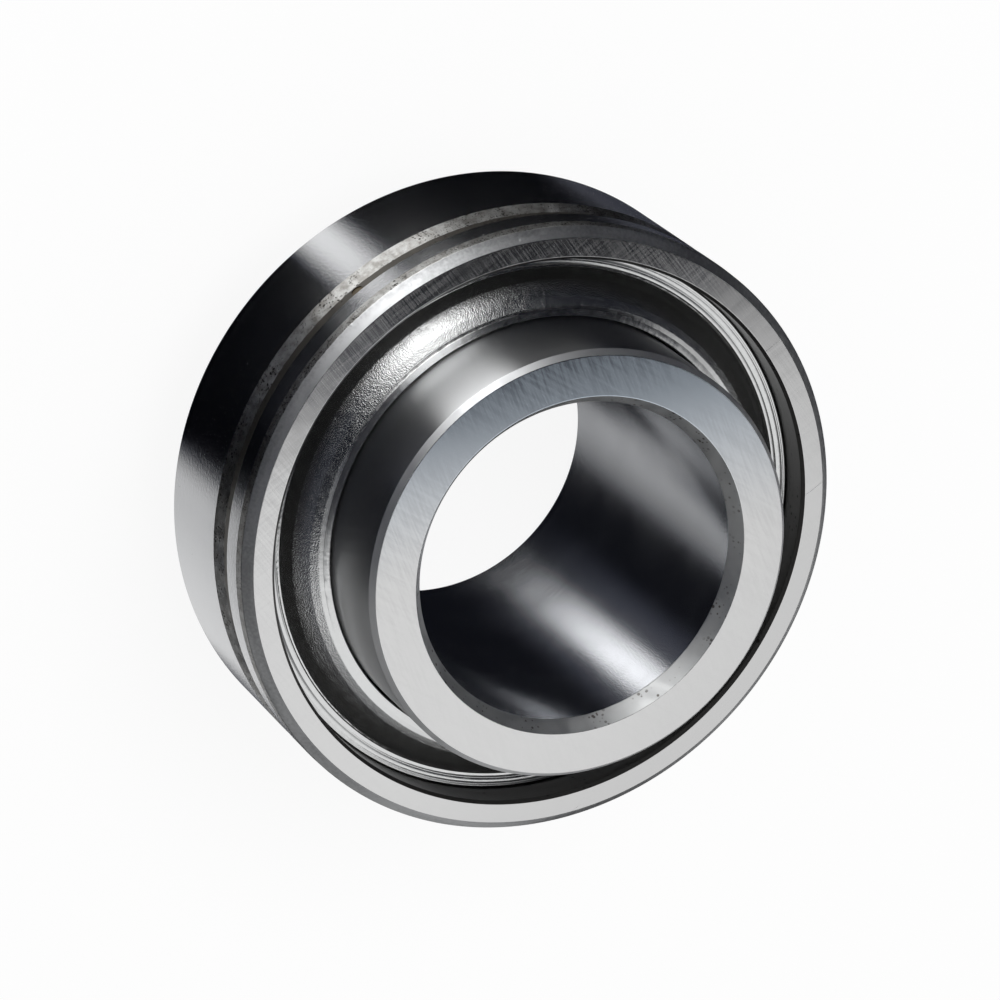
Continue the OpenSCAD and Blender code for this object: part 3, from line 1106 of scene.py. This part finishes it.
# %% Ride, replace and assign
finished = [
    (outer_ring, "outer_ring", "outer", "outer_ring_steel"),
    (inner_ring, "inner_ring", "inner", "inner_ring_steel"),
    (front_cap, "front_seal_cap", "outer", "cap_steel"),
    (rear_cap, "rear_seal_cap", "outer", "cap_steel"),
]
for piece, node_name, body, slot in finished:
    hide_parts(node_name)
    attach(piece, body)
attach(grease_plug, "outer")

# the first word found in a node's name decides, so cage_rivets stands before cage
node_finish = {
    "ball": lapped_steel,
    "cage_rivets": rivet_steel,
    "cage": cage_steel,
    "carrier": carrier_steel,
    "lips": rubber,
}
replaced = [row[1] for row in finished]
for node_name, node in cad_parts.items():
    if node_name in replaced:
        continue
    finish = next(m for word, m in node_finish.items() if word in node_name)
    node.data.materials.clear()
    node.data.materials.append(finish)
print("CAD nodes with a new finish:", len(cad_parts) - len(replaced))

# %% [markdown]
# ## The floor, the world and a soft lamp
#
# The floor is pale and catches a soft shadow. Part of its brightness is there only for
# the camera, for reflections and for what is seen through glass, so the picture's
# background is white while the lamp stays at a plain level. The small round of floor
# below the bore is a piece of its own, which the honed wall doesn't mirror: the wall looks
# past it, at a card further down.

# %% Floor, world and lamp
def add_mesh(name, points, faces, material):
    mesh = bpy.data.meshes.new(name)
    mesh.from_pydata(points, [], faces)
    mesh.materials.append(material)
    made = bpy.data.objects.new(name, mesh)
    bpy.context.collection.objects.link(made)
    return made


def seen_or_mirrored(tree):
    """1 for rays from the camera, mirrored rays and rays that pass through something clear."""
    path = add(tree, "ShaderNodeLightPath").outputs
    mirrored = {0: path["Is Camera Ray"], 1: path["Is Glossy Ray"]}
    some = add(tree, "ShaderNodeMath", mirrored, operation="MAXIMUM").outputs[0]
    through = {0: some, 1: path["Is Transmission Ray"]}
    return add(tree, "ShaderNodeMath", through, operation="MAXIMUM").outputs[0]


floor_glow = 0.9
floor_paint = bpy.data.materials.new("white_paper_floor")
floor_paint.use_nodes = True
tree = floor_paint.node_tree
tree.nodes.clear()
paper = add(tree, "ShaderNodeBsdfDiffuse", {0: linear("#F4F4F4")}).outputs[0]
glow = add(tree, "ShaderNodeEmission", {0: (1, 1, 1, 1), 1: 1.0}).outputs[0]
share = add(tree, "ShaderNodeMath", {0: seen_or_mirrored(tree), 1: floor_glow}, operation="MULTIPLY")
both = add(tree, "ShaderNodeMixShader", {0: share.outputs[0], 1: paper, 2: glow}).outputs[0]
add(tree, "ShaderNodeOutputMaterial", {0: both})

half_floor = 4.0
floor_h = floor_z * MM
middle_r = 31 * MM
sides_round = 96


def circle(radius, height):
    ring = [math.tau * i / sides_round for i in range(sides_round)]
    return [(radius * math.cos(a), radius * math.sin(a), height) for a in ring]


def annulus(inner, outer, height):
    points = circle(inner, height) + circle(outer, height)
    faces = []
    for i in range(sides_round):
        j = (i + 1) % sides_round
        faces.append((i, i + sides_round, j + sides_round, j))
    return points, faces


floor = add_mesh("floor", *annulus(middle_r, half_floor, floor_h), floor_paint)
floor_middle = add_mesh(
    "floor_middle",
    circle(middle_r, floor_h),
    [tuple(range(sides_round))],
    floor_paint,
)
floor_middle.visible_glossy = False

world = bpy.data.worlds.new("pale_room")
bpy.context.scene.world = world
world.use_nodes = True
tree = world.node_tree
tree.nodes.clear()
room_light = 0.62
level = {0: seen_or_mirrored(tree), 1: 0, 2: 1, 3: room_light, 4: 1.0}
level = add(tree, "ShaderNodeMapRange", level).outputs[0]
backdrop = add(tree, "ShaderNodeBackground", {0: (1, 1, 1, 1), 1: level}).outputs[0]
add(tree, "ShaderNodeOutputWorld", {0: backdrop})

lamp_data = bpy.data.lights.new("soft_lamp", "AREA")
lamp_data.shape = "DISK"
lamp_data.size = 0.9
lamp_data.energy = 9
lamp = bpy.data.objects.new("soft_lamp", lamp_data)
lamp.location = (-0.5, -0.4, 1.3)
lamp.rotation_euler = lamp.location.to_track_quat("Z", "Y").to_euler()
lamp.visible_glossy = False
bpy.context.collection.objects.link(lamp)
print("floor height in mm:", round(floor_z, 2))

# %% [markdown]
# ## Cards for the mirror-like steel
#
# Polished steel shows what stands round it, so a product photographer builds its look
# from cards: black ones for the deep tones and white ones for the highlights. These cards
# are seen only in reflections. A card's paint is a sum of soft-edged patches, each given
# by its direction, its width and its strength.

# %% Paint for the cards
def polar(tree, centre_mm=(0, 0)):
    here = add(tree, "ShaderNodeTexCoord").outputs["Object"]
    centre = (centre_mm[0] * MM, centre_mm[1] * MM, 0)
    moved = add(tree, "ShaderNodeVectorMath", {0: here, 1: centre}, operation="SUBTRACT").outputs[0]
    axis = add(tree, "ShaderNodeSeparateXYZ", {0: moved}).outputs
    azimuth = add(tree, "ShaderNodeMath", {0: axis[1], 1: axis[0]}, operation="ARCTAN2").outputs[0]
    flat = add(tree, "ShaderNodeCombineXYZ", {0: axis[0], 1: axis[1]}).outputs[0]
    radius = add(tree, "ShaderNodeVectorMath", {0: flat}, operation="LENGTH").outputs["Value"]
    rise = add(tree, "ShaderNodeMath", {0: axis[2], 1: radius}, operation="ARCTAN2").outputs[0]
    return azimuth, radius, rise


def sector(tree, azimuth, centre, half, soft):
    off = add(tree, "ShaderNodeMath", {0: azimuth, 1: math.radians(centre)}, operation="SUBTRACT")
    near = add(tree, "ShaderNodeMath", {0: off.outputs[0]}, operation="COSINE").outputs[0]
    outer_edge = math.cos(math.radians(min(half + soft, 180)))
    inner_edge_at = math.cos(math.radians(max(half - soft, 0)))
    share = {0: near, 1: outer_edge, 2: inner_edge_at}
    return add(tree, "ShaderNodeMapRange", share, **SMOOTH).outputs[0]


def band(tree, value, low, high, soft):
    up = {0: value, 1: low - soft, 2: low + soft}
    up = add(tree, "ShaderNodeMapRange", up, **SMOOTH).outputs[0]
    down = {0: value, 1: high - soft, 2: high + soft, 3: 1, 4: 0}
    down = add(tree, "ShaderNodeMapRange", down, **SMOOTH).outputs[0]
    return add(tree, "ShaderNodeMath", {0: up, 1: down}, operation="MULTIPLY").outputs[0]


def card_material(name, paint):
    """A card that glows by its paint, tinted blue where it is dim and white where bright."""
    made = bpy.data.materials.new(name)
    made.use_nodes = True
    tree = made.node_tree
    tree.nodes.clear()
    strength = paint(tree)
    bright = add(tree, "ShaderNodeMapRange", {0: strength, 1: 0, 2: 0.25}).outputs[0]
    colour = {0: bright, 6: linear("#D2DAFF"), 7: linear("#FFFFFF")}
    colour = add(tree, "ShaderNodeMix", colour, **COLOUR).outputs[2]
    light = add(tree, "ShaderNodeEmission", {0: colour, 1: strength}).outputs[0]
    add(tree, "ShaderNodeOutputMaterial", {0: light})
    made.cycles.emission_sampling = "NONE"
    return made


def mirror_only(card):
    card.visible_camera = False
    card.visible_diffuse = False
    card.visible_transmission = False
    card.visible_volume_scatter = False
    card.visible_shadow = False


# %% [markdown]
# The card on the floor is what the lands and the chamfers mirror: black, with one narrow
# white wedge towards the camera's left and a wide one to its right. A round land spreads
# its reflections like spokes, so the two edges of a wedge each run from a centre that lies
# inside the ring. That keeps the highlight's edges straight along the axis.

# %% Floor card
LAND_WEDGES = [
    # start (x, y, azimuth, softness), end (x, y, azimuth, softness), strength
    ((-2, -29, 231, 6), (0, -26, 246, 6), 1.1),
    ((8, -33, 337, 7), (43, -21, 56, 5), 0.7),
    ((22, -35, 8, 22), (43, -21, 56, 5), 0.15),
    ((43, -21, 50, 8), (50, 0, 95, 6), 0.1),
    ((-47.7, -12.7, 96, 5), (-36.2, -28.7, 140, 2), 0.06),
    ((-38, -28, 134, 2), (-36.2, -28.7, 140, 2), 0.08),
]
FLOOR_PATCHES = [
    # azimuth, half width, softness, nearest and farthest mm, softness in mm, strength
    (246, 14, 7, 78.5, 86, 1.5, 0.7),
    (246, 14, 7, 88, 900, 4, 2.4),
    (215, 14, 10, 84, 900, 3, 0.3),
    (276, 12, 8, 84, 900, 3, 0.14),
    (350, 20, 14, 84, 110, 5, 0.18),
    (92, 14, 5, 112, 150, 8, 0.5),
    (110, 10, 4, 120, 200, 8, 0.3),
    (48, 12, 4, 146, 900, 8, 0.55),
    (74, 10, 6, 100, 130, 5, 0.25),
]
land_far = 74
land_fade = 3
card_black = 0.003
card_grey = 0.018


def beside(tree, line, side):
    """1 on one side of a line that runs through a point, with an edge that fans out."""
    x, y, azimuth, soft = line
    return sector(tree, polar(tree, (x, y))[0], azimuth + 90 * side, 90, soft)


def floor_card_paint(tree):
    azimuth, radius, _ = polar(tree)
    near = band(tree, radius, 0, land_far * MM, land_fade * MM)
    ground = {0: radius, 1: 90 * MM, 2: 140 * MM, 3: card_black, 4: card_grey}
    rows = [(add(tree, "ShaderNodeMapRange", ground, **SMOOTH).outputs[0], 1.0)]
    for start, end, strength in LAND_WEDGES:
        wedge = {0: beside(tree, start, 1), 1: beside(tree, end, -1)}
        wedge = add(tree, "ShaderNodeMath", wedge, operation="MULTIPLY").outputs[0]
        wedge = add(tree, "ShaderNodeMath", {0: wedge, 1: near}, operation="MULTIPLY").outputs[0]
        rows.append((wedge, strength))
    for centre, half, soft, low, high, fade, strength in FLOOR_PATCHES:
        patch = {
            0: sector(tree, azimuth, centre, half, soft),
            1: band(tree, radius, low * MM, high * MM, fade * MM),
        }
        rows.append((add(tree, "ShaderNodeMath", patch, operation="MULTIPLY").outputs[0], strength))
    return total(tree, *rows)


card_lift = 0.05 * MM
card_r = 0.9
floor_card = add_mesh(
    "floor_card",
    *annulus(middle_r, card_r, floor_h + card_lift),
    card_material("floor_card_paint", floor_card_paint),
)
mirror_only(floor_card)


# %% [markdown]
# Inside the bore the honed wall mirrors a second card, which lies some way below the
# floor. A hollow wall gathers its reflections, and they all pass near one point, so the
# card's wedges start there.

# %% Bore card
BORE_PATCHES = [
    # azimuth, half width, softness, nearest and farthest mm, softness in mm, strength
    (240, 13, 4, 52, 900, 6, 1.15),
    (238, 4, 6, 52, 900, 6, 0.6),
    (243, 26, 18, 48, 900, 8, 0.12),
    (350, 16, 5, 0, 900, 5, 0.27),
    (8, 16, 8, 0, 900, 5, 0.18),
    (22, 12, 8, 0, 50, 6, 0.35),
    (36, 9, 6, 40, 900, 5, 0.28),
]
bore_card_drop = 70 * MM
bore_card_r = 0.6
bore_card_grey = 0.009
crossing_mm = (0, 13.5)


def bore_card_paint(tree):
    azimuth, radius, _ = polar(tree, crossing_mm)
    rows = [(1.0, bore_card_grey)]
    for centre, half, soft, low, high, fade, strength in BORE_PATCHES:
        patch = {
            0: sector(tree, azimuth, centre, half, soft),
            1: band(tree, radius, low * MM, high * MM, fade * MM),
        }
        rows.append((add(tree, "ShaderNodeMath", patch, operation="MULTIPLY").outputs[0], strength))
    return total(tree, *rows)


bore_card = add_mesh(
    "bore_card",
    circle(bore_card_r, floor_h - bore_card_drop),
    [tuple(range(sides_round))],
    card_material("bore_card_paint", bore_card_paint),
)
mirror_only(bore_card)


# %% [markdown]
# The flat faces mirror one large soft box that stands across from the camera. Its upper
# edge runs diagonally, so the faces are bright below and fall to dark at the top. One more
# bright patch lies at its far left, from the bottom to a little above the middle. The box
# gets dimmer towards its right edge, and a little dimmer towards the bottom.

# %% Soft box for the faces
FACE_LAYERS = [
    # angle of the edge, where it lies in mm, softness in mm, strength
    (29, 30, 16, 0.2),
    (50, 35, 11, 0.4),
    (60, 40, 10, 0.43),
]
face_card_grey = 0.01
left_strength = 0.6
box_away = 250 * MM
box_back = Vector((0, -camera_back.y, camera_back.z))
box_right = Vector((1, 0, 0))
box_up = box_right.cross(box_back)


def face_card_paint(tree):
    """The light at a point of the card, where u runs to the right and v up, from its middle."""
    point = add(tree, "ShaderNodeTexCoord").outputs["Object"]
    u = add(tree, "ShaderNodeVectorMath", {0: point, 1: box_right}, operation="DOT_PRODUCT")
    v = add(tree, "ShaderNodeVectorMath", {0: point, 1: box_up}, operation="DOT_PRODUCT")
    u, v = u.outputs["Value"], v.outputs["Value"]
    far_left = {0: u, 1: -125 * MM, 2: -90 * MM, 3: 1, 4: 0}
    far_left = add(tree, "ShaderNodeMapRange", far_left, **SMOOTH).outputs[0]
    not_high = {0: v, 1: 10 * MM, 2: 40 * MM, 3: 1, 4: 0}
    not_high = add(tree, "ShaderNodeMapRange", not_high, **SMOOTH).outputs[0]
    left = add(tree, "ShaderNodeMath", {0: far_left, 1: not_high}, operation="MULTIPLY").outputs[0]
    layers = [(1.0, face_card_grey), (left, left_strength)]
    for angle, edge, soft, strength in FACE_LAYERS:
        along = math.radians(angle)
        slant = total(tree, (u, -math.cos(along)), (v, math.sin(along)))
        share = {0: slant, 1: (edge - soft) * MM, 2: (edge + soft) * MM, 3: 1, 4: 0}
        layers.append((add(tree, "ShaderNodeMapRange", share, **SMOOTH).outputs[0], strength))
    right = {0: u, 1: 200 * MM, 2: 320 * MM, 3: 1, 4: 0.3}
    right = add(tree, "ShaderNodeMapRange", right, **SMOOTH).outputs[0]
    low = {0: v, 1: -45 * MM, 2: 0, 3: 0.87, 4: 1}
    low = add(tree, "ShaderNodeMapRange", low, **SMOOTH).outputs[0]
    fall = add(tree, "ShaderNodeMath", {0: right, 1: low}, operation="MULTIPLY").outputs[0]
    light = total(tree, *layers)
    return add(tree, "ShaderNodeMath", {0: light, 1: fall}, operation="MULTIPLY").outputs[0]


middle = box_back * box_away
face_card = add_mesh(
    "face_card",
    [
        tuple(middle + box_right * a * MM + box_up * b * MM)
        for a, b in [(-260, -260), (320, -260), (320, 190), (-260, 190)]
    ],
    [(0, 1, 2, 3)],
    card_material("face_card_paint", face_card_paint),
)
mirror_only(face_card)

# %% [markdown]
# Everything farther off is one dome: dark grey, with a tall white strip that gives every
# turned edge its highlight, and other boxes overhead, at the sides and at the back.

# %% Dome
DOME_PATCHES = [
    # azimuth, half width, softness, low and high elevation, softness, strength
    (243, 14, 4, -10, 37, 3, 3.5),
    (243, 14, 5, 37, 60, 3, 2.1),
    (218, 20, 10, 68, 100, 4, 3.0),
    (243, 34, 10, 3, 20, 3, 0.15),
    (300, 35, 12, 0, 33, 3, 0.1),
    (170, 25, 12, -5, 18, 4, 0.06),
    (26, 40, 8, 34, 64, 3, 1.3),
    (15, 26, 12, 25, 33, 3, 0.3),
    (10, 40, 10, -10, 18, 4, 0.48),
    (116, 14, 6, 36, 63, 4, 0.8),
]


def dome_paint(tree):
    azimuth, _, rise = polar(tree)
    rows = [(1.0, card_grey)]
    for centre, half, soft, low, high, fade, strength in DOME_PATCHES:
        patch = {
            0: sector(tree, azimuth, centre, half, soft),
            1: band(tree, rise, math.radians(low), math.radians(high), math.radians(fade)),
        }
        rows.append((add(tree, "ShaderNodeMath", patch, operation="MULTIPLY").outputs[0], strength))
    return total(tree, *rows)


def dome_mesh(radius, levels=24, sides=64):
    points = [(0, 0, radius)]
    for i in range(1, levels + 1):
        polar_angle = math.radians(100) * i / levels
        for j in range(sides):
            a = math.tau * j / sides
            points.append(
                (
                    radius * math.sin(polar_angle) * math.cos(a),
                    radius * math.sin(polar_angle) * math.sin(a),
                    radius * math.cos(polar_angle),
                )
            )
    faces = [(0, 1 + j, 1 + (j + 1) % sides) for j in range(sides)]
    for i in range(levels - 1):
        for j in range(sides):
            a, b = 1 + i * sides + j, 1 + i * sides + (j + 1) % sides
            faces.append((a, a + sides, b + sides, b))
    return points, faces


dome_points, dome_faces = dome_mesh(0.85)
dome = add_mesh("dome", dome_points, dome_faces, card_material("dome_paint", dome_paint))
mirror_only(dome)
